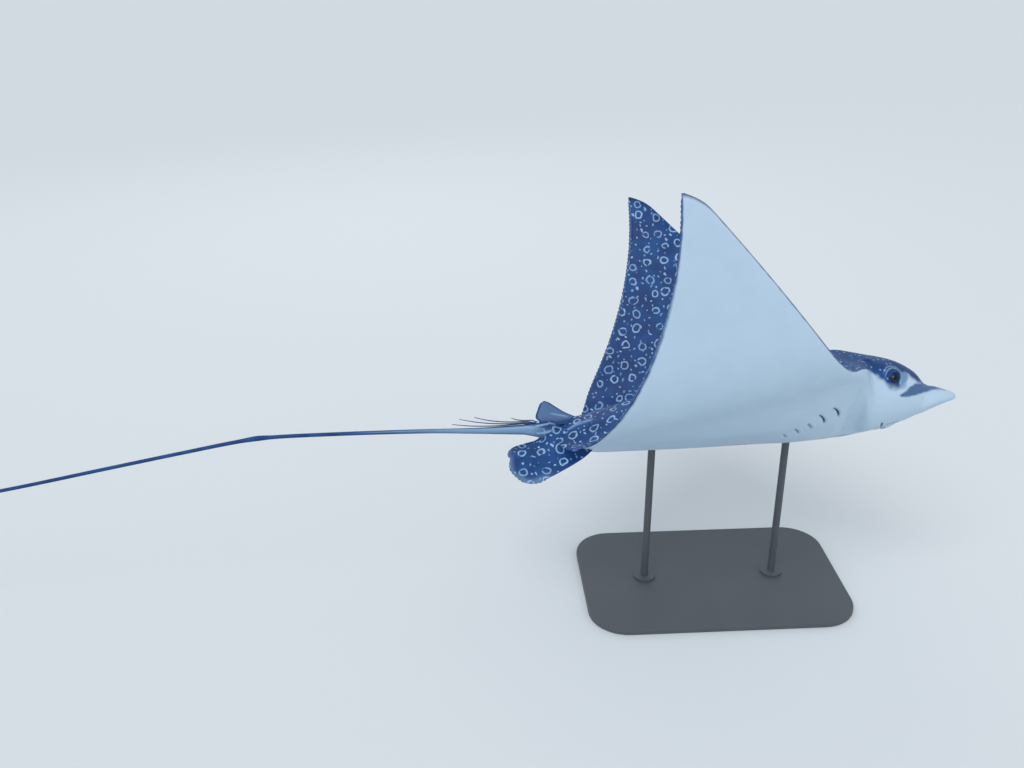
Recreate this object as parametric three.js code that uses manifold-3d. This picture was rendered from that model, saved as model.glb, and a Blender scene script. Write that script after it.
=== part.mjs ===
// A life-size spotted eagle ray on a display stand, in millimetres.
// The animal is modelled in its own frame first: snout tip at the origin, +X forward, +Y to its left and +Z up,
// so a point "behind the snout" by s lies at x = -s. A group then banks and pitches it over the stand,
// whose base lies on the floor with the middle of its underside at the part's origin.
import * as THREE from "three";
import { ParametricGeometry } from "three/addons/geometries/ParametricGeometry.js";
import { mergeVertices } from "three/addons/utils/BufferGeometryUtils.js";
import Module from "manifold-3d";

const wasm = await Module();
wasm.setup();

// ---- sizes ----
const gap = 0.3; // between pieces that meet
const discWidth = 1500;
const halfSpan = discWidth / 2; // along the fin, from the midline to the tip

const pose = { bank: -22.5, noseUp: 5.8, snout: new THREE.Vector3(545, -15, 540) }; // degrees, mm

// Head and trunk: distance behind the snout, then top, level of the widest line, underside and half-width
// of the section there. Along the fins the widest line is where they spring from.
const brow = 60; // where the skull rises behind the lobe
const headEnd = 212; // just ahead of the pectoral fins
const tailRoot = 1030;
const trunkStations = [
  [60, 2, -6, -12, 12],
  [66, 13, -6, -30, 26],
  [80, 24, -5, -41, 46],
  [103, 55, 2, -54, 70],
  [150, 85, 24, -68, 89],
  [209, 104, 50, -78, 102],
  [287, 123, 64, -86, 119],
  [390, 122, 50, -85, 130],
  [484, 111, 36, -79, 131],
  [650, 86, 12, -69, 118],
  [800, 57, -9, -58, 95],
  [861, 44, -16, -53, 81],
  [902, 38, -19, -43, 66],
  [950, 35, -8, -23, 43],
  [1000, 33, 12, -1, 24],
  [tailRoot, 31, 21.5, 12, 13],
];
const trunkRoundness = 2.2;

// The fleshy lobe under the front of the skull.
const lobeStations = [
  [0, -16, -20, -23, 9],
  [4, -12, -20, -26, 20],
  [15, -6, -19, -29, 39],
  [32, 1, -18, -32, 53],
  [52, 9, -17, -37, 62],
  [75, 13, -18, -44, 66],
  [100, 10, -20, -52, 63],
  [125, -5, -24, -50, 50],
  [140, -18, -24, -30, 24],
];

// Pectoral fins, laid flat: leading and trailing edge as distance behind the snout at t from the midline.
const fin = {
  root: 45, // starts inside the trunk
  leadRoot: 224, // at t = 130
  leadSlope: 0.6,
  leadCurve: 1.4e-4,
  leadHollow: 18, // the edge runs in a shallow hollow beside the head
  tip: 677,
  tipRound: 50,
  trailSlope: 0.04,
  trailCurve: 5.9e-4,
  trailHollow: 9,
  corner: 105, // t of the free rear corner
  rootHalfThick: 31,
  tipHalfThick: 1.6,
  edgeHalfThick: 1.1,
  rootRise: 72, // how far over the midline's level the root sits at its front
  rootFall: 101, // and how far it drops by its rear end
};
// Both fins start to turn up at t = bendStart and have turned by `turn` degrees at bendEnd;
// `curl` is added out to the tip.
const bendStart = 70;
const rightBend = { turn: 69, bendEnd: 444, curl: 11 };
const leftBend = { turn: 80.4, bendEnd: 284, curl: -8.2 };

const pelvic = {
  front: 866,
  back: 1076,
  rootY: 20,
  rootZ: -10,
  droop: { left: 29, right: 38 }, // degrees below level
  width: 127,
  halfThick: 5,
};

const dorsal = { front: 893, foot: 24, top: 83, halfThick: 4.2 };

const eye = { behind: 174, side: 87, up: 45, radius: 15.5 };

// Tail: distance behind the snout, height and half-thickness of its centre line.
const tailEnd = 4400;
const tailStations = [
  [tailRoot, 21.5, 9.5],
  [1087, 25.5, 8],
  [1140, 31, 6.4],
  [1257, 44, 5.3],
  [1472, 63, 4.7],
  [1620, 73.5, 4.7],
  [1660, 75, 5.6],
  [1703, 73, 4.9],
  [1840, 62, 4.5],
  [2000, 48, 4.4],
  [2276, 24, 4.3],
  [3000, -19, 3.6],
  [3700, -23, 2.7],
  [tailEnd, -2, 1.4],
];
const tailSway = 160; // sideways by the end of the tail
const tailCuts = [1250, 1660, 2300, 3100, 3800];

// Spines on the tail root: start, tip (behind the snout, up), sideways at the root and tip, half-width.
const spines = [
  { from: [1000, 35.6], by: [1110, 39], to: [1199, 54], side: [-4, -7], wide: 3.4 },
  { from: [998, 35.9], by: [1095, 42], to: [1181, 63], side: [4, 9], wide: 3.4 },
  { from: [1000, 39], by: [1080, 45.5], to: [1145, 64], side: [-3.5, -2], wide: 3.1 },
  { from: [996, 39.6], by: [1035, 43], to: [1058, 52], side: [3.5, 5], wide: 2.7 },
];
const spineHalfThick = 1.3;

const stand = {
  length: 660,
  width: 430,
  thick: 15,
  corner: 90,
  bevel: 3,
  rod: 9, // radius
  rods: { front: 160, rear: -170 }, // x
  rodY: 4,
  socket: 16, // how deep a rod reaches into the belly
  flange: { radius: 27, thick: 6 },
};

// ---- helpers ----
const rad = THREE.MathUtils.degToRad;
const clamp = THREE.MathUtils.clamp;
const smooth = (u) => THREE.MathUtils.smoothstep(u, 0, 1);

// Smooth curve through rows [x, a, b, ...] that doesn't overshoot: a cubic whose slope at each row is the
// harmonic mean of the slopes beside it, or nothing at a turn.
function along(rows, column) {
  const x = rows.map((r) => r[0]);
  const y = rows.map((r) => r[column]);
  const d = x.slice(1).map((v, i) => (y[i + 1] - y[i]) / (v - x[i]));
  const m = y.map((_, i) => {
    if (i === 0) return d[0];
    if (i === y.length - 1) return d[i - 1];
    return d[i - 1] * d[i] > 0 ? (2 * d[i - 1] * d[i]) / (d[i - 1] + d[i]) : 0;
  });
  return (at) => {
    let i = x.findIndex((v) => v > at) - 1;
    if (i < 0) i = at <= x[0] ? 0 : x.length - 2;
    const h = x[i + 1] - x[i];
    const u = clamp((at - x[i]) / h, 0, 1);
    return (
      y[i] * (1 + 2 * u) * (1 - u) ** 2 +
      m[i] * h * u * (1 - u) ** 2 +
      y[i + 1] * u * u * (3 - 2 * u) -
      m[i + 1] * h * u * u * (1 - u)
    );
  };
}

// A closed body from point(u, v): u runs once round each section, v from one end to the other.
function loft(point, around, lengthwise) {
  const g = new ParametricGeometry(
    (u, v, target) => target.copy(point(u === 1 ? 0 : u, v)),
    around,
    lengthwise,
  );
  g.deleteAttribute("normal");
  g.deleteAttribute("uv");
  return solid(g);
}

function solid(geometry, matrix) {
  const g = geometry.index ? geometry.toNonIndexed() : geometry.clone();
  const bare = new THREE.BufferGeometry().setAttribute("position", g.getAttribute("position"));
  if (matrix) bare.applyMatrix4(matrix);
  const merged = mergeVertices(bare, 1e-3);
  const index = merged.index.array;
  const kept = [];
  for (let i = 0; i < index.length; i += 3) {
    const [a, b, c] = [index[i], index[i + 1], index[i + 2]];
    if (a !== b && b !== c && c !== a) kept.push(a, b, c);
  }
  const build = (tris) =>
    new wasm.Manifold(
      new wasm.Mesh({
        numProp: 3,
        vertProperties: merged.attributes.position.array,
        triVerts: new Uint32Array(tris),
      }),
    );
  const made = build(kept);
  if (made.volume() > 0) return made;
  for (let i = 0; i < kept.length; i += 3) [kept[i + 1], kept[i + 2]] = [kept[i + 2], kept[i + 1]];
  return build(kept);
}

function meshOf(name, made, material) {
  const m = made.getMesh();
  const g = new THREE.BufferGeometry();
  const position = new Float32Array(m.numVert * 3);
  for (let i = 0; i < m.numVert; i++)
    position.set(m.vertProperties.subarray(i * m.numProp, i * m.numProp + 3), i * 3);
  g.setAttribute("position", new THREE.BufferAttribute(position, 3));
  g.setIndex(new THREE.BufferAttribute(m.triVerts, 1));
  g.computeVertexNormals();
  const mesh = new THREE.Mesh(g, material);
  mesh.name = name;
  return mesh;
}

// The biggest piece of a cut solid: slivers left by a cut are dropped.
const biggest = (made) =>
  made.decompose().reduce((a, b) => (b.volume() > a.volume() ? b : a));

// Keeps what lies behind s = from and ahead of s = to.
const between = (made, from, to) =>
  made.trimByPlane([-1, 0, 0], from + gap / 2).trimByPlane([1, 0, 0], -to + gap / 2);

// ---- trunk, head and lobe ----
// A section is two half superellipses that meet at the widest line:
// |y/halfWidth|^n + |z/height|^n = 1, with z from that line.
function tubeFrom(stations, roundness, grow, around, lengthwise) {
  const [top, level, under, half] = [1, 2, 3, 4].map((c) => along(stations, c));
  const [first, last] = [stations[0][0], stations[stations.length - 1][0]];
  const round = 2 / roundness;
  return loft(
    (u, v) => {
      const capped = clamp((v * (lengthwise + 2) - 1) / lengthwise, 0, 1); // the first and last rings close the ends
      const s = first + (last - first) * (0.55 * capped + 0.45 * capped ** 2.4);
      const closed = v === 0 || v === 1;
      const a = 2 * Math.PI * u;
      const bow = (c) => Math.sign(c) * Math.abs(c) ** round;
      const height = (Math.sin(a) > 0 ? top(s) - level(s) : level(s) - under(s)) + grow;
      const width = half(s) + grow;
      const end = closed ? 0 : 1;
      return new THREE.Vector3(
        -s + (v === 0 ? grow : v === 1 ? -grow : 0),
        end * width * bow(Math.cos(a)),
        level(s) + end * height * bow(Math.sin(a)),
      );
    },
    around,
    lengthwise + 2,
  );
}
const trunkTube = (grow) => tubeFrom(trunkStations, trunkRoundness, grow, 28, 29);
const lobeTube = tubeFrom(lobeStations, 2.5, 0, 20, 12);

// ---- pectoral fins ----
const leadingEdge = (t) => {
  const w = t - 130;
  const straight = fin.leadRoot + fin.leadSlope * w + fin.leadCurve * w * w;
  const hollow = fin.leadHollow * Math.exp(-(((t - 110) / 50) ** 2));
  const k = clamp((t - halfSpan) / fin.tipRound + 1, 0, 1) ** 4;
  return straight + hollow + k * (fin.tip - straight);
};
const trailingEdge = (t) => {
  const u = halfSpan - t;
  const edge =
    fin.tip + fin.trailSlope * u + fin.trailCurve * u * u -
    fin.trailHollow * Math.exp(-(((t - 185) / 40) ** 2));
  return edge - 55 * smooth((fin.corner - t) / 40); // the inner margin runs forward to the trunk
};
const finHalfThick = (t) =>
  fin.tipHalfThick +
  (fin.rootHalfThick - fin.tipHalfThick) * (Math.max(0, halfSpan - t) / 620) ** 1.6;
// Half-thickness at share c of the chord: h * 2.85 * sqrt(c) * (1 - c)^1.25, over a thin rounded edge.
const finShape = (c) => 2.85 * Math.sqrt(c) * (1 - c) ** 1.25;
const rootRise = (s, t) =>
  (fin.rootRise - (fin.rootFall * (s - 250)) / 680) * (1 - smooth((t - 130) / 270));

// The bend: y and z at t by adding up the cosine and sine of the slope, and the slope itself.
function bendTable({ turn, bendEnd, curl }) {
  const steps = 300;
  const slope = (t) =>
    rad(turn) * smooth((t - bendStart) / (bendEnd - bendStart)) +
    rad(curl) * clamp((t - bendEnd) / (halfSpan - bendEnd), 0, 1);
  const table = [[0, 0, 0, 0]];
  for (let i = 1; i <= steps; i++) {
    const t = (halfSpan * i) / steps;
    const [, y, z] = table[i - 1];
    const mid = slope(t - halfSpan / steps / 2);
    table.push([t, y + (Math.cos(mid) * halfSpan) / steps, z + (Math.sin(mid) * halfSpan) / steps, slope(t)]);
  }
  return [1, 2, 3].map((c) => along(table, c));
}

function pectoral(side, bend) {
  const [bentY, bentZ, slope] = bendTable(bend);
  const half = 11; // points along the chord on each face
  return loft(
    (u, v) => {
      const shut = v === 0;
      const k = clamp((v * 23 - 1) / 22, 0, 1);
      const t = fin.root + (halfSpan - fin.root) * (1 - (1 - k) ** 1.25);
      const a = 2 * Math.PI * u;
      const c = (1 - Math.cos(a)) / 2; // 0 at the leading edge, 1 at the trailing edge
      const [lead, trail] = [leadingEdge(t), trailingEdge(t)];
      const s = lead + (trail - lead) * c;
      const open = shut ? 0 : Math.min(1, Math.sqrt(Math.max(0, halfSpan - t) / 12)); // closes the root and the tip
      const thick = open * (fin.edgeHalfThick * Math.sqrt(Math.abs(Math.sin(a))) + finHalfThick(t) * finShape(c));
      const up = Math.sign(Math.sin(a)) * thick + rootRise(s, t);
      const h = slope(t);
      return new THREE.Vector3(-s, side * (bentY(t) - up * Math.sin(h)), bentZ(t) + up * Math.cos(h));
    },
    half * 2,
    23,
  );
}

// ---- pelvic fins: an oval plate that droops from the trunk's side ----
function pelvicFin(side, droopAngle) {
  const outer = along(
    [
      [pelvic.front, 40],
      [900, 72],
      [950, 100],
      [1005, 122],
      [1030, pelvic.width],
      [1050, 116],
      [1066, 98],
      [pelvic.back, 68],
    ],
    1,
  );
  const inner = along(
    [
      [pelvic.front, 40],
      [880, 5],
      [985, 2],
      [1030, 16],
      [1062, 34],
      [pelvic.back, 68],
    ],
    1,
  );
  const droop = rad(droopAngle);
  return loft(
    (u, v) => {
      const s = pelvic.front + (pelvic.back - pelvic.front) * ((1 - Math.cos(Math.PI * v)) / 2);
      const a = 2 * Math.PI * u;
      const c = (1 - Math.cos(a)) / 2;
      const w = inner(s) + (outer(s) - inner(s)) * c;
      const thick = Math.sin(a) * Math.sin(Math.PI * v) ** 0.5 * (1.3 + pelvic.halfThick * (1 - w / 150));
      const sag = droop * (0.75 + 0.35 * (w / pelvic.width)); // it droops more toward its edge
      return new THREE.Vector3(
        -s,
        side * (pelvic.rootY + w * Math.cos(sag) + thick * Math.sin(sag)),
        pelvic.rootZ - w * Math.sin(sag) + thick * Math.cos(sag),
      );
    },
    14,
    12,
  );
}

// ---- dorsal fin: thin, rounded, leaning back, with a free rear corner ----
function dorsalFin() {
  const front = along([[dorsal.foot, 880], [36, 903], [51, 930], [68, 952], [79, 966], [dorsal.top, 975]], 1);
  const back = along([[dorsal.foot, 990], [36, 993], [45, 1000], [64, 993], [78, 985], [dorsal.top, 975]], 1);
  return loft(
    (u, v) => {
      const rise = Math.sin((Math.PI / 2) * clamp((v * 11 - 1) / 10, 0, 1));
      const z = dorsal.foot + (dorsal.top - dorsal.foot) * rise;
      const a = 2 * Math.PI * u;
      const c = (1 - Math.cos(a)) / 2;
      const s = front(z) + (back(z) - front(z)) * c;
      const plate = 0.5 + 0.8 * dorsal.halfThick * (1 - 0.7 * rise) * finShape(c);
      const bulge = Math.sign(Math.sin(a)) * Math.sqrt(Math.abs(Math.sin(a)));
      const closed = v === 0 || rise === 1;
      return new THREE.Vector3(-s, closed ? 0 : bulge * plate, z);
    },
    14,
    11,
  );
}

// ---- tail and spines ----
const tailHeight = along(tailStations, 1);
const tailHalf = along(tailStations, 2);
const swayAt = (s) => -tailSway * smooth((s - 1900) / (tailEnd - 1900)) ** 1.5;
function tailLength(from, to, rings) {
  return loft(
    (u, v) => {
      const k = clamp((v * (rings + 2) - 1) / rings, 0, 1);
      const s = from + (to - from) * k;
      const a = 2 * Math.PI * u;
      const end = v === 0 || v === 1 ? 0 : 1;
      const wide = 1 + 0.35 * (1 - smooth((s - tailRoot) / 150));
      return new THREE.Vector3(
        -s,
        swayAt(s) + end * tailHalf(s) * wide * Math.cos(a),
        tailHeight(s) + end * tailHalf(s) * Math.sin(a),
      );
    },
    8,
    rings + 2,
  );
}

function spine({ from, by, to, side, wide }) {
  const [pullS, pullZ] = [0, 1].map((i) => 2 * by[i] - (from[i] + to[i]) / 2); // the curve passes `by` half way
  const path = new THREE.QuadraticBezierCurve3(
    new THREE.Vector3(-from[0], side[0], from[1]),
    new THREE.Vector3(-pullS, (side[0] + side[1]) / 2, pullZ),
    new THREE.Vector3(-to[0], side[1], to[1]),
  );
  return loft(
    (u, v) => {
      const k = clamp((v * 9 - 1) / 7, 0, 1);
      const p = path.getPoint(k);
      const end = v === 0 || v === 1 ? 0 : 1;
      const a = 2 * Math.PI * u;
      const taper = Math.sqrt(1 - k ** 1.7) * 0.93 + 0.07;
      return new THREE.Vector3(
        p.x,
        p.y + end * wide * taper * Math.cos(a),
        p.z + end * Math.max(0.4, spineHalfThick * (0.45 + 0.55 * taper)) * Math.sin(a),
      );
    },
    6,
    9,
  );
}

// ---- stand ----
function standBase() {
  const [w, d, r] = [stand.length / 2 - stand.bevel, stand.width / 2 - stand.bevel, stand.corner];
  const outline = new THREE.Shape()
    .moveTo(-w + r, -d)
    .lineTo(w - r, -d)
    .absarc(w - r, -d + r, r, -Math.PI / 2, 0)
    .lineTo(w, d - r)
    .absarc(w - r, d - r, r, 0, Math.PI / 2)
    .lineTo(-w + r, d)
    .absarc(-w + r, d - r, r, Math.PI / 2, Math.PI)
    .lineTo(-w, -d + r)
    .absarc(-w + r, -d + r, r, Math.PI, 1.5 * Math.PI);
  const g = new THREE.ExtrudeGeometry(outline, {
    depth: stand.thick - 2 * stand.bevel,
    bevelThickness: stand.bevel,
    bevelSize: stand.bevel,
    bevelSegments: 2,
    curveSegments: 5,
  });
  return solid(g, new THREE.Matrix4().makeTranslation(0, 0, stand.bevel));
}
// An upright cylinder at x on the stand's line; `into` turns it into the animal's own frame.
const upright = (radius, from, to, x, sides = 24, into = new THREE.Matrix4()) =>
  solid(
    new THREE.CylinderGeometry(radius, radius, to - from, sides),
    into
      .clone()
      .multiply(new THREE.Matrix4().makeTranslation(x, stand.rodY, (from + to) / 2))
      .multiply(new THREE.Matrix4().makeRotationX(Math.PI / 2)),
  );

// ---- put together ----
const swimmer = new THREE.Group();
swimmer.rotation.set(rad(pose.bank), rad(-pose.noseUp), 0, "YXZ");
swimmer.position.copy(pose.snout);
swimmer.updateMatrixWorld(true);
const toAnimal = swimmer.matrixWorld.clone().invert();

const materials = {
  back: new THREE.MeshStandardMaterial({ color: 0x2b3a4c, roughness: 0.45 }),
  trunk: new THREE.MeshStandardMaterial({ color: 0x4a5a6b, roughness: 0.45 }),
  lobe: new THREE.MeshStandardMaterial({ color: 0xb9c3cc, roughness: 0.45 }),
  tail: new THREE.MeshStandardMaterial({ color: 0x1f2833, roughness: 0.5 }),
  spine: new THREE.MeshStandardMaterial({ color: 0x6b6355, roughness: 0.5 }),
  eye: new THREE.MeshStandardMaterial({ color: 0x0c0e10, roughness: 0.05 }),
  stand: new THREE.MeshStandardMaterial({ color: 0x1b1c1e, roughness: 0.4, metalness: 0.6 }),
};

const trunk = trunkTube(0);
const grownTrunk = trunkTube(gap);
const eyeBall = (side, grow) =>
  solid(new THREE.SphereGeometry(eye.radius + grow, 16, 10)).translate([-eye.behind, side * eye.side, eye.up]);
const bothEyes = eyeBall(1, gap).add(eyeBall(-1, gap));
// Where a rod's axis meets the belly: the lowest point of the trunk inside a thin probe.
function bellyAt(x) {
  const probe = upright(1, 0, 850, x, 8, toAnimal).intersect(trunk);
  const m = probe.getMesh();
  const p = new THREE.Vector3();
  let low = Infinity;
  for (let i = 0; i < m.numVert; i++) {
    p.fromArray(m.vertProperties, i * m.numProp).applyMatrix4(swimmer.matrixWorld);
    low = Math.min(low, p.z);
  }
  return low;
}
const flangeTop = stand.thick + stand.flange.thick;
const rods = {};
const sockets = [];
for (const [name, x] of Object.entries(stand.rods)) {
  const top = bellyAt(x) + stand.socket;
  rods[name] = upright(stand.rod, flangeTop - 4, top, x);
  sockets.push(upright(stand.rod + gap, flangeTop, top + gap, x, 24, toAnimal));
}

const body = sockets.reduce((a, b) => a.subtract(b), trunk.subtract(bothEyes));
swimmer.add(
  meshOf("head", between(body, brow - 5, headEnd), materials.trunk),
  meshOf("trunk", between(body, headEnd, tailRoot), materials.trunk),
  meshOf("rostral_lobe", biggest(lobeTube.subtract(grownTrunk)), materials.lobe),
  meshOf("left_eye", biggest(eyeBall(1, 0)), materials.eye),
  meshOf("right_eye", biggest(eyeBall(-1, 0)), materials.eye),
);
for (const [name, side, bend] of [["left", 1, leftBend], ["right", -1, rightBend]]) {
  const wing = pectoral(side, bend);
  const clear = grownTrunk.add(wing).add(wing.translate([0, 0, -gap]));
  swimmer.add(
    meshOf(name + "_pectoral_fin", biggest(wing.subtract(grownTrunk)), materials.back),
    meshOf(name + "_pelvic_fin", biggest(pelvicFin(side, pelvic.droop[name]).subtract(clear)), materials.back),
  );
}
swimmer.add(meshOf("dorsal_fin", biggest(dorsalFin().subtract(grownTrunk)), materials.back));

const tailSteps = [tailRoot, ...tailCuts, tailEnd];
tailSteps.slice(1).forEach((to, i) => {
  const from = tailSteps[i] + gap;
  swimmer.add(meshOf("tail_" + (i + 1), tailLength(from, to, Math.round(5 + (to - from) / 90)), materials.tail));
});
spines.forEach((s, i) => {
  const clear = grownTrunk.add(tailLength(tailRoot, 1250, 8).translate([0, 0, gap]));
  swimmer.add(meshOf("sting_" + (i + 1), biggest(spine(s).subtract(clear)), materials.spine));
});

const root = new THREE.Group();
root.name = "spotted_eagle_ray";
root.add(swimmer);
root.add(meshOf("stand_base", standBase(), materials.stand));
for (const [name, x] of Object.entries(stand.rods)) {
  const flange = upright(stand.flange.radius, stand.thick + gap, flangeTop, x);
  root.add(meshOf("stand_rod_" + name, biggest(rods[name].add(flange)), materials.stand));
}

export default root;
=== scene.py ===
import math
from functools import partial

import bpy
import numpy as np
from mathutils import Matrix, Vector


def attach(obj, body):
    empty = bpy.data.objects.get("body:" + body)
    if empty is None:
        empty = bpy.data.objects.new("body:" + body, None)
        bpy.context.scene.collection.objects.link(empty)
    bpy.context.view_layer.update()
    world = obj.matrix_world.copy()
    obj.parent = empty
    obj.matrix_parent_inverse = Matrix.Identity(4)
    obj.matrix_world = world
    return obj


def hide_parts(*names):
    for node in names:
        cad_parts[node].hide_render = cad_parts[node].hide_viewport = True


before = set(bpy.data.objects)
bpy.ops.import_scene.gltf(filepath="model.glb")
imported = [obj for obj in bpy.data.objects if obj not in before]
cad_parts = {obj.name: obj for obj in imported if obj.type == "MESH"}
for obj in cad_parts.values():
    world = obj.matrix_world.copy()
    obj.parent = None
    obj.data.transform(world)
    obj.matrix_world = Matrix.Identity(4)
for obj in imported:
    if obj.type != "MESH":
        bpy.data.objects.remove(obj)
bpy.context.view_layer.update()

print("frame loaded")

# The animal is worked out in millimetres in its own frame, with the snout tip at the origin:
# s is the distance behind the snout, t that from the midline along the unbent fin, z or up the height.
metre = 0.001

pose = {
    "bank": -22.5,  # degrees about the animal's length
    "noseUp": 5.8,
    "snout": (545, -15, 540),
}


def smooth(x):  # 3x^2 - 2x^3 between 0 and 1
    x = np.clip(x, 0, 1)
    return x * x * (3 - 2 * x)


def fade(x):
    return 1 - smooth(x)


def bell(x):  # e^-x^2
    return np.exp(-(x**2))


def along(rows, column, at):
    # a cubic through rows (x, a, b, ...): its slope at each row is the harmonic mean
    # of the slopes on either side of it, or 0 where they change sign
    table = np.array(rows, float)
    x, y = table[:, 0], table[:, column]
    d = np.diff(y) / np.diff(x)
    m = np.zeros_like(y)
    m[0], m[-1] = d[0], d[-1]
    same = d[:-1] * d[1:] > 0
    m[1:-1][same] = 2 * (d[:-1] * d[1:])[same] / (d[:-1] + d[1:])[same]
    i = np.clip(np.searchsorted(x, at, side="right") - 1, 0, len(x) - 2)
    h = x[i + 1] - x[i]
    u = np.clip((at - x[i]) / h, 0, 1)
    return (
        y[i] * (1 + 2 * u) * (1 - u) ** 2
        + m[i] * h * u * (1 - u) ** 2
        + y[i + 1] * u * u * (3 - 2 * u)
        - m[i + 1] * h * u * u * (1 - u)
    )


def signedPower(x, power):
    return np.sign(x) * np.abs(x) ** power


def running(steps):  # the sums of the steps so far, from 0
    return np.concatenate([[0], np.cumsum(steps)])


def placed(points):  # banked, pitched and moved to the snout's place, in metres
    bank, pitch = math.radians(pose["bank"]), math.radians(-pose["noseUp"])
    turn = np.array(Matrix.Rotation(pitch, 3, "Y") @ Matrix.Rotation(bank, 3, "X"))
    return (points @ turn.T + np.array(pose["snout"])) * metre


# A ring is an array of n rows: x, y, z and then the values that the materials read. fleshKind is
# 0 on the back, 1 on the belly, 2 on the tail and the lids, and 3 on the dorsal fin.
readings = ["flatS", "flatT", "shade", "cutOff", "grooveShadeAndLidDarkAmount", "pale", "fleshKind"]
allDark = 12  # mm inside the dark back, well past its limit


# a ring of n joined to one of n, n/2 or 1, starting at vertices a and b
def facesBetween(a, n, b, m):
    j = np.arange(max(n, m) if m == 1 else m)
    k = (j + 1) % len(j)
    if n == m:
        return np.stack([a + j, b + j, b + k, a + k], 1).tolist()
    if n == 1:
        return np.stack([a + 0 * j, b + j, b + k], 1).tolist()
    if m == 1:
        return np.stack([a + j, b + 0 * j, a + k], 1).tolist()
    first, second, third = a + 2 * j, a + 2 * j + 1, a + (2 * j + 2) % n
    corners = [(first, b + j, second), (second, b + j, b + k), (second, b + k, third)]
    return np.concatenate([np.stack(c, 1) for c in corners]).tolist()


def shellFrom(rings):  # vertices and faces of one closed shell, its faces outward
    starts = running([len(r) for r in rings])
    faces = []
    for i in range(len(rings) - 1):
        faces += facesBetween(starts[i], len(rings[i]), starts[i + 1], len(rings[i + 1]))
    values = np.concatenate(rings)
    quads = np.array([f if len(f) == 4 else f + f[-1:] for f in faces])
    p = values[:, :3][quads]
    side, diagonal, last = [p[:, i] - p[:, 0] for i in (1, 2, 3)]
    crossed = np.cross(side, diagonal) + np.cross(diagonal, last)
    if (p[:, 0] * crossed).sum() < 0:
        faces = [f[::-1] for f in faces]
    return values, faces


def turns(n):  # n angles evenly round a circle
    return 2 * math.pi * np.arange(n) / n


def capped(rings):  # a shell with each end closed on the middle of its ring
    return shellFrom([rings[0].mean(0, keepdims=True), *rings, rings[-1].mean(0, keepdims=True)])


def reading(p, s, t, shade, pale=0, kind=0, cutOff=9, grooveShadeAndLidDarkAmount=0):  # points with their readings beside them
    values = [np.broadcast_to(v, p.shape[:-1]) for v in (s, t, shade, cutOff, grooveShadeAndLidDarkAmount, pale, kind)]
    return np.concatenate([p, np.stack(values, -1)], -1)


# one object from closed shells, with its readings as attributes
def meshOf(name, shells, names, material):
    starts = running([len(v) for v, _ in shells])
    values = np.concatenate([v for v, _ in shells])
    faces = [[i + start for i in f] for start, (_, fs) in zip(starts, shells) for f in fs]
    data = bpy.data.meshes.new(name)
    data.from_pydata(values[:, :3].tolist(), [], faces)
    data.polygons.foreach_set("use_smooth", np.ones(len(faces), bool))
    for column, label in enumerate(names, 3):
        layer = data.attributes.new(label, "FLOAT", "POINT")
        layer.data.foreach_set("value", values[:, column].astype(np.float32))
    data.materials.append(material)
    data.update()
    made = bpy.data.objects.new(name, data)
    bpy.context.scene.collection.objects.link(made)
    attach(made, "root")
    print(name, len(data.vertices), "vertices,", sum(len(f) - 2 for f in faces), "triangles")
    return made


body = {
    # behind the snout, top, level of the widest line, underside, half-width
    "trunk": [
        [60, 2, -6, -12, 12], [66, 13, -6, -30, 26], [80, 24, -5, -41, 46],
        [103, 55, 2, -54, 70], [150, 85, 24, -68, 89], [209, 104, 50, -78, 102],
        [287, 123, 64, -86, 119], [390, 122, 50, -85, 130], [484, 111, 36, -79, 131],
        [650, 86, 12, -69, 118], [800, 57, -9, -58, 95], [861, 44, -16, -53, 81],
        [902, 38, -19, -43, 66], [950, 35, -8, -23, 43], [1000, 33, 12, -1, 24],
        [1030, 32.5, 20.5, 8.5, 15.5],
    ],
    "lobe": [
        [0, -16, -20, -23, 9], [4, -12, -20, -26, 20], [15, -6, -19, -29, 39],
        [32, 1, -18, -32, 53], [52, 9, -17, -37, 62], [75, 13, -18, -44, 66],
        [100, 10, -20, -52, 63], [125, -5, -24, -50, 50], [140, -18, -24, -30, 24],
    ],
    "trunkRound": 2.2,
    "lobeRound": 2.5,
    "brow": 62,
    "lobeEnd": 139,
    "groove": 5,  # how widely the lobe and the skull run into each other
    "snoutCap": 5,
    "core": -20,  # height of the line that the head's rays start from
    "headEnd": 212,
    "tailRoot": 1030,
}

fin = {
    "leadRoot": 224,  # at t = 130
    "leadSlope": 0.6,
    "leadCurve": 1.4e-4,
    "leadHollow": 18,
    "halfSpan": 750,
    "tip": 677,
    "tipRound": 50,
    "trailSlope": 0.04,
    "trailCurve": 5.9e-4,
    "trailHollow": 9,
    "rearCorner": 126,
    "cornerLong": 40,
    "rearDip": 16,
    "rootFillet": 40,  # how widely the leading edge runs into the head's side
    "rootHalfThick": 31,
    "tipHalfThick": 1.6,
    "edgeHalfThick": 1.1,
    "rootRise": 72,
    "rootFall": 101,
    "bendStart": 70,
    "right": {"turn": 69, "bendEnd": 444, "curl": 11},
    "left": {"turn": 80.4, "bendEnd": 284, "curl": -8.2},
    "blend": 2.4,  # power mean that runs the trunk into the fin
    "sweep": 0.35,  # how far the skin's rows lean back for each mm outward
}

mesh = {
    "top": 54,
    "under": 74,
    "noseStep": 2.4,
    "eyeStep": 1.6,
    "gillStep": 2.7,
    "finStep": 6,
    "rearStep": 3.2,
    "tailStep": 9,
}

over = np.linspace(0, 1, mesh["top"] + 1)
below = np.linspace(1, 0, mesh["under"] + 1)[1:]
# the way out from the midline, for each column of half a ring
share = np.concatenate([over, below])
isUnder = np.arange(len(share)) > mesh["top"]
upOrDown = np.where(isUnder, -1, 1)
fromWidest = (1 - share) * math.pi / 2  # the angle round the section


def sectionAt(rows, s):  # top, level, underside and half-width
    return [along(rows, column, s) for column in (1, 2, 3, 4)]


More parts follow.
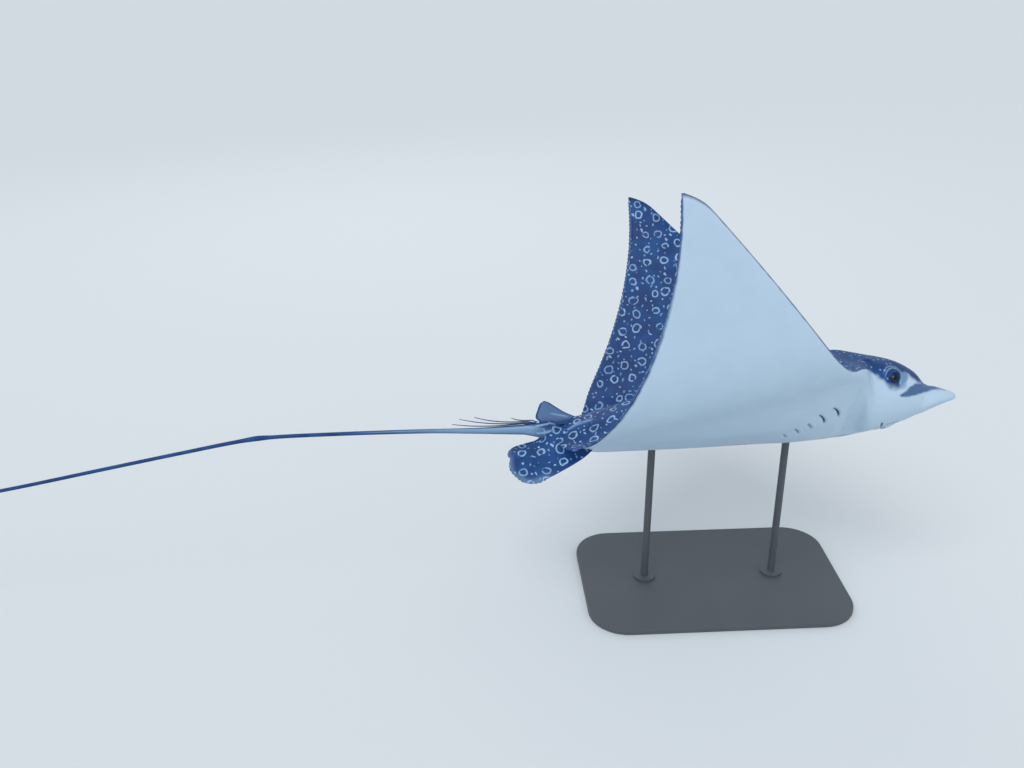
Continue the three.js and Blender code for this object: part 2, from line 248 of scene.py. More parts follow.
# two half superellipses, t = h cos(a)^(2 / power) and z = b sin(a)^(2 / power), that meet at the widest line
def ovalRing(rows, s, power):
    top, level, under, half = [v[:, None] for v in sectionAt(rows, s)]
    t = half * np.cos(fromWidest) ** (2 / power)
    rise = np.sin(fromWidest) ** (2 / power)
    return t, np.where(isUnder, level - (level - under) * rise, level + (top - level) * rise)


# how far each ray from the core line stays in the section, found by halving
def reachIn(rows, s, power, acrossT, upZ):
    top, level, under, half = [v[:, None] for v in sectionAt(rows, s)]
    near, far = np.zeros_like(acrossT), np.full_like(acrossT, 260.0)
    for _ in range(34):
        mid = (near + far) / 2
        z = body["core"] + mid * upZ - level
        height = np.where(z > 0, top - level, level - under)
        inside = np.abs(mid * acrossT / half) ** power + np.abs(z / height) ** power < 1
        near, far = np.where(inside, mid, near), np.where(inside, far, mid)
    return near


# the larger of the skull's and the lobe's reach along rays from the core, plus (w - gap)^2 / 4w near a tie
def headRings(s):
    core = body["core"]
    lobeT, lobeZ = ovalRing(body["lobe"], s, body["lobeRound"])
    skullT, skullZ = ovalRing(body["trunk"], s, body["trunkRound"])
    blend = smooth((s - body["brow"]) / 88)[:, None]
    lobeLong = np.hypot(lobeT, lobeZ - core) + 1e-6
    skullLong = np.hypot(skullT, skullZ - core) + 1e-6
    acrossT = (1 - blend) * lobeT / lobeLong + blend * skullT / skullLong
    upZ = (1 - blend) * (lobeZ - core) / lobeLong + blend * (skullZ - core) / skullLong
    long = np.hypot(acrossT, upZ)
    acrossT, upZ = acrossT / long, upZ / long
    lobe = reachIn(body["lobe"], s, body["lobeRound"], acrossT, upZ)
    skull = reachIn(body["trunk"], s, body["trunkRound"], acrossT, upZ)
    lobe = np.where(s[:, None] < body["lobeEnd"], lobe, 0)
    skull = np.where(s[:, None] > body["brow"], skull, 0)
    larger = np.maximum(lobe, skull)
    width = np.minimum(body["groove"], 0.3 * larger) + 1e-6
    reach = larger + np.maximum(width - np.abs(lobe - skull), 0) ** 2 / (4 * width)
    u = np.clip(s / body["snoutCap"], 0, 1)[:, None]
    reach = reach * np.sqrt(u * (2 - u))
    return np.repeat(s[:, None], len(share), 1), reach * acrossT, core + reach * upZ


def leadingEdge(t):  # a parabola in t with a bell at the root, rounded by a 4th power at the tip
    w = t - 130
    line = fin["leadRoot"] + fin["leadSlope"] * w + fin["leadCurve"] * w * w
    line = line + fin["leadHollow"] * bell((t - 110) / 50)
    tip = np.clip((t - fin["halfSpan"]) / fin["tipRound"] + 1, 0, 1) ** 4
    return line + tip * (fin["tip"] - line)


def trailingEdge(t):  # a parabola from the tip with a bell-shaped hollow
    u = fin["halfSpan"] - t
    hollow = fin["trailHollow"] * bell((t - 185) / 40)
    return fin["tip"] + fin["trailSlope"] * u + fin["trailCurve"] * u * u - hollow


def finHalfThick(t):  # tip + (root - tip) (way in from the tip)^1.6
    reach = np.maximum(0, fin["halfSpan"] - t) / 620
    return fin["tipHalfThick"] + (fin["rootHalfThick"] - fin["tipHalfThick"]) * reach**1.6


def finRise(s, t):  # the fin's middle surface before it bends: a line in s that fades outward
    return (fin["rootRise"] - fin["rootFall"] * (s - 250) / 680) * fade((t - 140) / 300)


spanT = np.linspace(0, fin["halfSpan"], 1501)
sweep = fin["sweep"] * smooth((spanT[1:] - 150) / 150)
sweptBack = running(sweep * np.diff(spanT))


def bendOf(side):  # y, z and slope by t: the running sums of the slope's cosine and sine
    b = fin["left" if side > 0 else "right"]
    turned = smooth((spanT - fin["bendStart"]) / (b["bendEnd"] - fin["bendStart"]))
    curled = np.clip((spanT - b["bendEnd"]) / (fin["halfSpan"] - b["bendEnd"]), 0, 1)
    slope = math.radians(b["turn"]) * turned + math.radians(b["curl"]) * curled
    middle = (slope[1:] + slope[:-1]) / 2
    y, z = [running(part(middle) * np.diff(spanT)) for part in (np.cos, np.sin)]
    return y, z, slope


def bent(s, t, up, side):  # carries flat points over to the bent fin on one side
    bendY, bendZ, slope = bendOf(side)
    h = np.interp(t, spanT, slope)
    y = np.interp(t, spanT, bendY) - up * np.sin(h)
    return np.stack([-s, side * y, np.interp(t, spanT, bendZ) + up * np.cos(h)], -1)


def edgeOf(r):  # how far out the skin reaches in each swept row
    outer = spanT[spanT >= 100]
    lead = np.maximum.accumulate(leadingEdge(outer) - np.interp(outer, spanT, sweptBack))
    trail = trailingEdge(outer) - np.interp(outer, spanT, sweptBack)
    tipRow = lead[-1]
    half = along(body["trunk"], 4, r)
    ahead = np.where(r < lead[0], outer[0] + 1.4 * (r - lead[0]), np.interp(r, lead, outer))
    corner = trailingEdge(np.array([fin["rearCorner"]]))[0]
    behind = np.interp(-r, -trail, outer)
    past = (r - corner) / fin["cornerLong"]
    closing = half + (fin["rearCorner"] - half) * fade(past)
    behind = np.where(r > corner, closing, behind)
    out = np.where(r < tipRow, ahead, behind)
    fillet = fin["rootFillet"] * smooth((r - body["headEnd"]) / 40) * (r < tipRow) + 1e-6
    return np.maximum(half, out) + np.maximum(fillet - np.abs(half - out), 0) ** 2 / (4 * fillet)


# the trunk's height over the middle surface and the fin's, joined by a power mean (a^n + b^n)^(1 / n)
def trunkRings(r):
    edge = edgeOf(r)[:, None]
    wide = smooth((edge - 120) / 200)
    angled = np.cos(fromWidest) ** (2 / body["trunkRound"])
    inner = (150 - 0.049 * edge) / 0.6
    spread = inner * np.sin(share * math.pi / 2) + (edge - inner) * (1 - (1 - share**4) ** 1.2)
    t = (1 - wide) * edge * angled + wide * spread
    s = r[:, None] + np.interp(t, spanT, sweptBack)
    top, level, under, half = sectionAt(body["trunk"], s)
    finned = smooth((s - body["headEnd"]) / 115) * fade((s - 900) / 60)
    # the oval hollows out at its sides as the fin draws it wider than the trunk
    power = np.clip(body["trunkRound"] * (edge / half) ** -1.9, 0.62, None)
    hull = np.maximum(1 - np.minimum(t / edge, 1) ** power, 0) ** (1 / power)
    flare = np.where(isUnder, 2.3, 1.55)
    mound = np.maximum(1 - (t / half / flare) ** 2, 0) ** np.where(isUnder, 2.6, 1.6)
    depth = np.where(isUnder, level - under, top - level)
    trunk = depth * ((1 - finned) * hull + finned * mound)
    lead, trail = leadingEdge(t), trailingEdge(t)
    c = np.clip((s - lead) / (trail - lead), 0, 1)
    plate = finHalfThick(t) * 2.85 * np.sqrt(c) * (1 - c) ** 1.25 + fin["edgeHalfThick"] * (c > 0)
    plate = plate * smooth((t - 60) / 60)
    closing = np.sqrt(np.clip((edge - t) / (2 + 7 * wide), 0, 1))
    thick = (trunk ** fin["blend"] + plate ** fin["blend"]) ** (1 / fin["blend"])
    thick = np.where((wide > 0) | (finned > 0), thick * closing, thick)
    outward = smooth((t - 60) / 80) * smooth((s - body["headEnd"]) / 75)
    middle = level + (finRise(s, t) - level) * outward
    middle = middle - fin["rearDip"] * smooth((s - 930) / 50) * smooth((t - 30) / 50)
    return s, t, middle + upOrDown * thick


# what stands out of the skin or goes into it
face = {
    "eye": (174, 87, 45),  # behind the snout, to the side, up
    "eyeRadius": 15.5,
    "opening": (9.6, 8.6),  # half-length and half-height of the gap between the lids
    "lidThick": 1.3,
    "browRise": 3.4,
    "cheekHollow": 1.5,
    "spiracle": (230, 84, 88),
    "spiracleSize": (16, 8),  # half-length and half-height
    "spiracleDeep": 10,
    "mouth": 191,
    "mouthBow": 7,  # how far its corners trail
    "mouthHalf": 58,
    "mouthDeep": 5.5,
    "lip": 2.0,
    "curtain": (150, 186, 33),  # the nasal flap's front, rear edge and half-width
    "curtainThick": 4.5,
    "nostrilDeep": 5.5,
    # the gill slits: behind the snout, up the side from the belly's middle, half-length, how strong the
    # painted shade in the slit is
    "gills": [
        (324, 160, 14, 1), (356, 146, 14, 0.95), (384, 126, 9, 0.5), (411, 110, 8, 0.6), (436, 88, 7, 0.45),
    ],
    "gillDeep": 4.5,
    "gillFlap": 1.6,
}


# outward shift in mm, and for the painted shade in the grooves and pits the distance across and the strength
def relief(s, t, z, fromBelly):
    rise = np.zeros_like(s)
    cutOff, grooveShadeAndLidDarkAmount, nearest = np.full_like(s, 9.0), np.zeros_like(s), np.full_like(s, 1e6)

    # the groove's painted shade: dark down its middle, as strong as strength
    def cut(across, strength, width):  # a groove e^-(across / width)^2, dark where its strength is
        nonlocal cutOff, grooveShadeAndLidDarkAmount, nearest
        strength = strength * fade((np.abs(across) - 4) / 4)
        away = np.abs(across) + 50 * (strength <= 0)
        nearer = away < nearest
        cutOff = np.where(nearer, across * 2.2 / width, cutOff)
        grooveShadeAndLidDarkAmount = np.where(nearer, strength, grooveShadeAndLidDarkAmount)
        nearest = np.minimum(away, nearest)
        return bell(across / width)

    # lids: a dome a little larger than the ball, and a gap through which the skin drops behind the ball
    es, et, ez = face["eye"]
    a, b = s - es, z - ez
    far = np.hypot(a, b)
    near = t > 50
    dome = et + np.sqrt(np.maximum((face["eyeRadius"] + face["lidThick"]) ** 2 - far**2, 0))
    lid = np.maximum(dome - t, 0) * fade((far - 13) / 9)
    gap = np.hypot(a / face["opening"][0], b / face["opening"][1])
    shut = smooth((gap - 0.86) / 0.3)
    rise += near * (shut * lid + (1 - shut) * (et + 5 - t) * (far < 16))
    rise += near * 1.0 * bell((gap - 1.3) / 0.16)
    rise += near * face["browRise"] * bell((far - 21) / 7) * smooth(b / 12)
    rise -= near * face["cheekHollow"] * bell((far - 32) / 7)
    # spiracle: an oval pit behind the eye with a soft rim and painted shade in the pit
    ss, st, sz = face["spiracle"]
    long, high = face["spiracleSize"]
    oval = np.sqrt(((s - ss) / long) ** 2 + ((t - st) ** 2 + (z - sz) ** 2) / high**2)
    rise -= face["spiracleDeep"] * fade((oval - 0.3) / 0.75) * ~isUnder
    rise += 1.6 * bell((oval - 1.2) / 0.25) * ~isUnder
    cut(4 * oval, fade((oval - 0.9) / 0.5) * ~isUnder, 2.4)
    # mouth: a groove across with painted shade in it, and a lip behind it
    line = face["mouth"] + face["mouthBow"] * (t / face["mouthHalf"]) ** 2
    wide = fade((t - 50) / 10) * isUnder
    rise -= face["mouthDeep"] * wide * cut(s - line, wide, 2.8)
    rise += face["lip"] * wide * bell((s - line - 8) / 5.5)
    # nasal flap: thickens rearward to a fringed edge, with a nostril groove on each side that has painted
    # shade in it
    front, rear, half = face["curtain"]
    edge = rear + 1.4 * np.cos(t * 1.05) - 5 * (t / half) ** 4
    flap = smooth((s - front) / 26) * fade((s - edge + 2) / 3.5)
    flap = flap * fade((t - half + 2) / 5) * isUnder
    rise += face["curtainThick"] * flap
    length = smooth((s - front) / 8) * fade((s - rear + 8) / 8) * isUnder
    beside = t - half - 5 - 0.1 * (s - 165)
    rise -= face["nostrilDeep"] * length * cut(beside, 0.85 * length, 3.2)
    # gill slits: short slanting cuts with painted shade in them, each behind a low flap
    for gs, up, long, strength in face["gills"]:
        v = fromBelly - up
        u = s - gs - 0.5 * v - 0.014 * v * v
        length = fade((np.abs(v) - long) / 5) * isUnder
        rise -= face["gillDeep"] * length * cut(u, strength * length, 3.0)
        rise += face["gillFlap"] * length * bell((u + 7) / 4.2)
    return rise, cutOff, grooveShadeAndLidDarkAmount


# unit normals of half the flat skin, from the cross product of its two directions
def outwardOf(s, t, z):
    p = np.stack([-s, t, z], -1)
    n = np.cross(np.gradient(p, axis=0), np.gradient(p, axis=1))
    n = n / (np.linalg.norm(n, axis=-1, keepdims=True) + 1e-9)
    if n[len(n) // 2, 0, 2] < 0:
        n = -n
    n[:, [0, -1], 1] = 0
    return n


coat = {
    # lower limit of the dark back on the side of the head: behind the snout, height
    "darkFrom": [
        [60, 10], [90, 15], [104, 23], [112, 29], [120, 37], [128, 46], [133, 47], [138, 36], [144, 28],
        [152, 25], [160, 25], [170, 23], [180, 25], [190, 31], [198, 44], [212, 52], [235, 60], [262, 60],
    ],
    # the dark wedge on the lobe and the cheek behind it: behind the snout, lower and upper limit
    "wedge": [
        [0, 20, 90], [20, 10, 90], [35, -1, 90], [48, 4, 90], [62, 4, 90], [84, 2, 90], [92, 1, 60],
        [100, 1, 24], [114, 0, 25], [127, -2, 23], [142, -1, 14], [157, 1, 7], [166, 4, 5],
    ],
    # the pale lines beside the dorsal fin and on the flank, painted highlights along the ridges there:
    # behind the snout, out from the middle
    "lineHigh": [[900, 2], [928, 7], [952, 14], [979, 19], [1000, 19], [1030, 13]],
    "lineLow": [[850, 52], [883, 46], [920, 44], [945, 47], [970, 43], [1000, 38], [1030, 26]],
    "lineHalfWide": 3.6,
    "eyeArcs": [(22, 0.55), (28, 0.45)],  # distance from the eye's middle, strength
    "arcHalfWide": 1.7,
    "brightBar": 157.5,  # the pale bar before the eye, behind the snout
}


def shadeOf(s, t, z, fromEdge):  # how far in mm each point lies inside the dark back
    high = z - along(coat["darkFrom"], 1, s) - 3 * fade((np.abs(t) - 10) / 50)
    wedge = np.minimum(z - along(coat["wedge"], 1, s), along(coat["wedge"], 2, s) - z)
    wedge = 1.4 * np.minimum(wedge, 163 - s)
    head = np.where(s < body["brow"], wedge, np.maximum(0.5 * high, wedge))
    wrap = 2.5 - 14 * fade((s - 285) / 70) + 45 * smooth((s - 860) / 70)
    onFin = np.where(isUnder, -fromEdge, fromEdge) + wrap + 6 * smooth((s - 330) / 60) * isUnder
    toFin = smooth((s - 205) / 50)
    return (1 - toFin) * head + toFin * onFin


# how far the dark skin lightens: the most of bells across the arcs and the bar, the painted highlights along
# the ridges beside the dorsal fin and on the flank, and the tail's painted light
def paleMarksAndPaintedLightOf(s, t, z, fromMiddle):
    es, _, ez = face["eye"]
    a, b = s - es, z - ez
    far = np.hypot(a, b)
    side = (np.abs(t) > 45) & (s < 240)
    pale = 0.5 * smooth((s - 130) / 6) * fade((s - 157) / 4)
    pale = pale * smooth((z - 16) / 10) * fade((z - 52) / 8)
    bar = 0.9 * bell((s - coat["brightBar"]) / 3)
    pale = np.maximum(pale, bar * smooth((z - 24) / 8) * fade((z - 48) / 8))
    for ring, strength in coat["eyeArcs"]:
        arc = strength * bell((far - ring) / coat["arcHalfWide"])
        pale = np.maximum(pale, arc * smooth((b + 2) / 10) * smooth((26 - a) / 10))
    pale = np.maximum(pale * side, 0.2 * fade((s - 150) / 12) * fade((z - 22) / 8))
    # painted highlights along the ridges beside the dorsal fin and on the flank
    for name, start, strength in [("lineHigh", 915, 0.85), ("lineLow", 860, 0.7)]:
        off = np.abs(fromMiddle - along(coat[name], 1, s))
        line = strength * bell(off / coat["lineHalfWide"]) * smooth((s - start) / 25) * (s > start)
        pale = np.maximum(pale, line)
    return np.maximum(pale, tailPaintedLight(s, upOrDown * fromWidest))


# painted light on the tail: its flanks at the root painted lighter as if lit, narrowing to a painted
# highlight along the upper side that ends
def tailPaintedLight(s, fromSide):  # pale flanks at the tail's root that narrow to a streak and end
    flank = smooth((s - 965) / 60) * fade((s - 1150) / 250)
    streak = smooth((s - 965) / 60) * fade((s - 1330) / 140) * (0.55 + 0.3 * flank)
    streak = streak * bell((fromSide - 0.25 - 0.35 * flank) / 0.36)
    return np.maximum(0.56 * flank * np.exp(-(((fromSide + 0.1) / 0.8) ** 4)), streak)


tail = {
    # behind the snout, height of the middle, half-thickness
    "line": [
        [1030, 20.5, 12], [1060, 23.3, 10.6], [1102, 27.2, 8.7], [1140, 31, 7.2],
        [1257, 44, 5.3], [1472, 63, 4.7], [1620, 73.5, 4.7], [1660, 75, 6.4],
        [1703, 73, 4.9], [1840, 62, 4.5], [2000, 48, 4.4], [2276, 24, 4.3],
        [3000, -19, 3.6], [3700, -23, 2.7], [4400, -2, 1.4],
    ],
    "sway": 160,
}


# the whole skin from snout to tail tip: half rings, mirrored and bent on each side
def bodyShell():
    nose = np.array([0.25, 0.8, 1.6, 2.7, 4.1, 5.8, 7.7])
    brow = np.arange(nose[-1] + mesh["noseStep"], 142, mesh["noseStep"])
    cheek = np.arange(142, body["headEnd"], mesh["eyeStep"])
    head = headRings(np.concatenate([nose, brow, cheek]))
    spans = [(body["headEnd"], 452, "gillStep"), (452, 925, "finStep"), (925, 1002, "rearStep")]
    trunk = trunkRings(np.concatenate([np.arange(a, b, mesh[step]) for a, b, step in spans]))
    s, t, z = [np.concatenate([h, b]) for h, b in zip(head, trunk)]
    steps = np.hypot(np.diff(t, axis=1), np.diff(z, axis=1))
    walked = np.concatenate([np.zeros((len(s), 1)), np.cumsum(steps, axis=1)], 1)
    edge = walked[:, mesh["top"]][:, None]
    fromBelly = walked[:, -1:] - walked
    fromEdge = np.abs(walked - edge)
    shade = shadeOf(s, t, z, fromEdge)
    pale = paleMarksAndPaintedLightOf(s, t, z, walked)
    rise, cutOff, grooveShadeAndLidDarkAmount = relief(s, t, z, fromBelly)
    n = outwardOf(s, t, z)
    s, t, z = s - n[..., 0] * rise, t + n[..., 1] * rise, z + n[..., 2] * rise
    kind = np.where(isUnder, 1.0, 0.0) * fade((s - 955) / 45) + 2 * smooth((s - 955) / 45)
    halves = []
    for side in (1, -1):
        p = placed(bent(s, np.maximum(t, 0), z, side))
        halves.append(reading(p, s, side * walked, shade, pale, kind, cutOff, grooveShadeAndLidDarkAmount))
    left, right = halves
    full = np.concatenate([left, right[:, -2:0:-1]], 1)
    rings = [full[0].mean(0, keepdims=True)] + list(full)
    # the ring thins out by halves on the way to the tail
    angle = upOrDown * fromWidest
    angle = np.concatenate([angle, math.pi - angle[-2:0:-1]])
    steps = [(1005, 1), (1010, 2), (1015, 2), (1021, 4), (1027, 4), (1030.5, 8)]
    steps += [(at, 16) for at in np.arange(1034, 4398, mesh["tailStep"])]
    rings += [tailRing(np.array(float(at)), angle[::skip]) for at, skip in steps]
    rings.append(tailRing(np.array(4400.0), angle[::16]).mean(0, keepdims=True))
    return shellFrom(rings)


# an ellipse about the tail's middle line; near the trunk, the superellipse of the trunk's own section
def tailRing(s, angle):
    if s < body["tailRoot"]:
        top, level, under, half = sectionAt(body["trunk"], s)
        bow = 2 / body["trunkRound"]
        y = half * signedPower(np.cos(angle), bow)
        rise = np.abs(np.sin(angle)) ** bow
        z = level + np.where(np.sin(angle) > 0, top - level, under - level) * rise
    else:
        height, thick = along(tail["line"], 1, s), along(tail["line"], 2, s)
        wide = 1 + 0.35 * fade((s - body["tailRoot"]) / 150)
        sway = -tail["sway"] * smooth((s - 1900) / 2500) ** 1.5
        y = sway + thick * wide * np.cos(angle)
        z = height + thick * np.sin(angle)
    p = placed(np.stack([-s + 0 * y, y, z], -1))
    # painted light on the tail's flanks and a painted highlight along its upper side
    pale = tailPaintedLight(s, np.arcsin(np.sin(angle)))
    thickHere = along(tail["line"], 2, np.maximum(s, body["tailRoot"]))
    return reading(p, s, angle * thickHere, allDark, pale, kind=2)


lid = {
    "place": 1.1,  # times the opening
    "sink": 0.7,  # mm that the rim's middle stands over the ball
    "halfThick": 1.35,
    "corner": 0.22,  # radians that each lid runs past the corners of the eye
    "steps": 40,
    "around": 14,
}


# a rim on the eye's own sphere from one corner to the other, r (1 - 0.6 k^6) thick at k = -1 to 1 along it
def lidShell(side, first, last):
    k = np.linspace(-1, 1, lid["steps"])[:, None]
    turn = (first + last) / 2 + (last - first) / 2 * k
    length, height = face["opening"]
    a, b = lid["place"] * length * np.cos(turn), lid["place"] * height * np.sin(turn)
    radius = face["eyeRadius"] + lid["sink"]
    out = np.stack([-a, side * np.sqrt(radius**2 - a * a - b * b), b], -1) / radius
    away = np.stack([-a, 0 * a, b], -1)
    away = away - (away * out).sum(-1, keepdims=True) * out
    away = away / np.linalg.norm(away, axis=-1, keepdims=True)
    c = turns(lid["around"])[None, :, None]
    thick = (lid["halfThick"] * (1 - 0.6 * k**6))[..., None]
    es, et, ez = face["eye"]
    p = np.array([-es, side * et, ez]) + radius * out + thick * (np.cos(c) * out + np.sin(c) * away)
    # the rim is darkened with the grooves' dark colour at half strength
    return capped(reading(placed(p), es, side * 60, allDark, kind=2, cutOff=0, grooveShadeAndLidDarkAmount=0.5))


pelvic = {
    "rootY": 20,
    "rootZ": -10,
    "droop": {1: 29, -1: 38},
    "width": 127,
    "halfThick": 5,
    "darkBelow": 85,
    "rootSwell": 27,
    "rootWide": 66,
    "outer": [
        [866, 40], [900, 72], [950, 100], [1005, 122], [1030, 127], [1050, 116], [1066, 98], [1076, 68],
    ],
    "inner": [[866, 40], [880, 5], [985, 2], [1030, 16], [1062, 34], [1076, 68]],
    "steps": 44,
    "around": 48,
}


# out by w along a plate whose droop grows as 0.75 + 0.35 w / width, swollen to the flank at its root
def pelvicPoint(s, w, lift, side):
    root = fade((w + 4) / pelvic["rootWide"])
    root = root * smooth((s - 880) / 40) * fade((s - 962) / 48)
    lift = lift + pelvic["rootSwell"] * root * (lift > 0)
    sag = math.radians(pelvic["droop"][side]) * (0.75 + 0.35 * w / pelvic["width"])
    y = pelvic["rootY"] + w * np.cos(sag) + lift * np.sin(sag)
    return np.stack([-s, side * y, pelvic["rootZ"] - w * np.sin(sag) + lift * np.cos(sag)], -1)


# a lens between the fin's outlines: |sin a|^0.8 thick round each section, sqrt(sin pi v) along it
def pelvicShell(side):
    front, rear = pelvic["outer"][0][0], pelvic["outer"][-1][0]
    v = (1 - np.cos(np.linspace(0, math.pi, pelvic["steps"] + 2)[1:-1])) / 2
    s = (front + (rear - front) * v)[:, None]
    a = turns(pelvic["around"])[None]
    c = (1 - np.cos(a)) / 2
    inner, outer = along(pelvic["inner"], 1, s), along(pelvic["outer"], 1, s)
    w = inner + (outer - inner) * c
    taper = np.sqrt(np.sin(math.pi * v))[:, None]
    thick = 1.2 + pelvic["halfThick"] * (1 - w / 150)
    lift = signedPower(np.sin(a), 0.8) * taper * thick
    p = placed(pelvicPoint(s + 0 * w, w, lift, side))
    fromEdge = np.minimum(outer - w, 1.2 * (rear - s))
    shade = np.where(np.sin(a) > -1e-6, fromEdge, pelvic["darkBelow"] - fromEdge) + 3.5
    rim = 0.3 * fade((fromEdge - 3) / 16) * smooth((s - 960) / 60)
    kind = np.where(np.sin(a) < 0, 1.0, 0.0)
    return capped(reading(p, s, side * (w + 30), shade, rim, kind))


dorsal = {
    "foot": 24,
    "top": 83,
    "halfThick": 4.2,
    "front": [[24, 880], [36, 903], [51, 930], [68, 952], [79, 966], [83, 975]],
    "back": [[24, 990], [36, 993], [45, 1000], [64, 993], [78, 985], [83, 975]],
    "steps": 30,
    "around": 56,
}


# a thin blade over its foot: half-thickness h sqrt(c) (1 - c)^1.25 along the chord
def dorsalShell():
    rise = np.sin(np.linspace(0, math.pi / 2, dorsal["steps"] + 1)[:-1])
    z = (dorsal["foot"] + (dorsal["top"] - dorsal["foot"]) * rise)[:, None]
    a = turns(dorsal["around"])[None]
    c = (1 - np.cos(a)) / 2
    front, back = along(dorsal["front"], 1, z), along(dorsal["back"], 1, z)
    s = front + (back - front) * c
    thick = 0.8 * dorsal["halfThick"] * (1 - 0.7 * rise)[:, None]
    plate = 0.5 + thick * 2.85 * np.sqrt(c) * (1 - c) ** 1.25
    foot = 1 + 1.6 * np.exp(-((z - 30) / 6))
    y = signedPower(np.sin(a), 0.6) * plate * foot * np.sqrt(1 - rise**6)[:, None]
    p = placed(np.stack([-s, y, z + 0 * s], -1))
    chord = (s.max(1) - s.min(1))[:, None]
    fromRim = np.minimum(np.minimum(c, 1 - c) * chord, 1.3 * (dorsal["top"] - z))
    pale = 0.3 * smooth((fromRim - 3) / 3) * smooth((z - 28) / 14)
    streak = 0.8 * bell((z - 40 - 0.3 * (s - 925)) / 2.6)
    streak = streak * smooth((s - 918) / 12) * fade((s - 958) / 14)
    return capped(reading(p, s, z, allDark, np.maximum(pale, streak), kind=3))


fringe = {
    "pitch": 10.5,  # mm along the edge from notch to notch
    "deep": 2.3,
    "root": 9,
    "halfThick": 0.9,
    "finFrom": 118,
    "finTo": 738,
    # the pelvic fin's rear margin by share of its way: behind the snout, out along the plate
    "pelvicPath": [
        [0, 985, 114], [0.2, 1017, 125.5], [0.4, 1043, 121],
        [0.6, 1061, 105], [0.8, 1074.5, 77], [1, 1070, 46],
    ],
}


def scallops(long):  # the height of rounded teeth along an edge: deep |sin(pi L / pitch)|^0.6
    return fringe["deep"] * np.abs(np.sin(math.pi * long / fringe["pitch"])) ** 0.6


# a thin strip along an edge: an ellipse in (out, lift) at each step, reaching out by the scallops' height
def stripShell(points, long):
    a = turns(6)[None]
    share = (1 - np.cos(a)) / 2
    ends = np.clip(np.minimum(long, long[-1] - long) / 8, 0, 1)[:, None]
    reach = scallops(long)[:, None] * ends
    out = -fringe["root"] + (fringe["root"] + reach) * share
    lift = np.sin(a) * fringe["halfThick"] * (1.05 - 0.5 * share)
    return capped(points(out, lift))


def finFringe(side):  # the strip on the fin's middle surface, outward along s from its trailing edge
    t = np.linspace(fringe["finTo"], fringe["finFrom"], 400)
    trail = trailingEdge(t)
    long = running(np.hypot(np.diff(t), np.diff(trail)))

    def points(out, lift):
        s = trail[:, None] + out
        middle = finRise(s, t[:, None])
        level = along(body["trunk"], 2, s)
        middle = level + (middle - level) * smooth((t[:, None] - 60) / 80)
        p = placed(bent(s, t[:, None] + 0 * s, middle + lift, side))
        shade = np.where(lift > -0.2, allDark, 3)
        return reading(p, s, side * t[:, None], shade, pale=0.12, kind=lift < 0)

    return stripShell(points, long)


def pelvicFringe(side):  # the strip on the pelvic plate, outward along its edge's own normal
    q = np.linspace(0, 1, 130)
    s, w = along(fringe["pelvicPath"], 1, q), along(fringe["pelvicPath"], 2, q)
    long = running(np.hypot(np.diff(s), np.diff(w)))
    ds, dw = np.gradient(s, long), np.gradient(w, long)

    def points(out, lift):
        outS, outW = s[:, None] + out * -dw[:, None], w[:, None] + out * ds[:, None]
        p = placed(pelvicPoint(outS, outW, lift, side))
        shade = np.where(lift > -0.2, allDark, 3)
        return reading(p, outS, side * (outW + 30), shade, pale=0.3, kind=lift < 0)

    return stripShell(points, long)


# The eyeball: rings about its axis, with the cornea a little fuller than the rest.
ball = {
    "forward": 0.2,
    "up": 0.1,
    "cornea": 0.8,
    "corneaWide": 0.45,  # radians from the axis
    "rings": 44,
    "around": 72,
}


def eyeShell(side):  # radius r + cornea e^-(angle / wide)^2 about an axis that looks outward
    axis = np.array([ball["forward"], side, ball["up"]])
    axis = axis / np.linalg.norm(axis)
    level = np.cross(axis, [0, 0, 1])
    level = level / np.linalg.norm(level)
    upright = np.cross(level, axis)
    angle = (math.pi * np.linspace(0, 1, ball["rings"] + 1) ** 1.3)[:, None]
    around = turns(ball["around"])[None]
    radius = face["eyeRadius"] + ball["cornea"] * bell(angle / ball["corneaWide"])
    flat = np.sin(angle) * radius
    p = (
        (np.cos(angle) * radius + 0 * around)[..., None] * axis
        + (flat * np.cos(around))[..., None] * level
        + (flat * np.sin(around))[..., None] * upright
    )
    es, et, ez = face["eye"]
    p = placed(p + np.array([-es, side * et, ez]))
    values = np.stack([angle + 0 * around, around + 0 * angle], -1)
    rings = list(np.concatenate([p, values], -1))
    return shellFrom([rings[0][:1]] + rings[1:-1] + [rings[-1][:1]])


# The stings on the tail's root: flat blades with a low ridge and barbs along each edge.
sting = {
    # start, half way and tip (behind the snout, up), how far sideways each is, half-width
    "blades": [
        [(1000, 35.6), (1110, 39), (1199, 54), (-4, -5, -7), 3.4],
        [(998, 35.9), (1095, 42), (1181, 63), (4, 6, 9), 3.4],
        [(1000, 39), (1080, 45.5), (1145, 64), (-3.5, -2.75, -2), 3.1],
        [(996, 39.6), (1035, 43), (1058, 52), (3.5, 4, 5), 2.7],
    ],
    "halfThick": 1.3,
    "ridge": 0.5,
    "barbPitch": 4.2,  # mm
    "barbDeep": 0.24,  # share of the half-width
    "steps": 150,
    "around": 18,
}


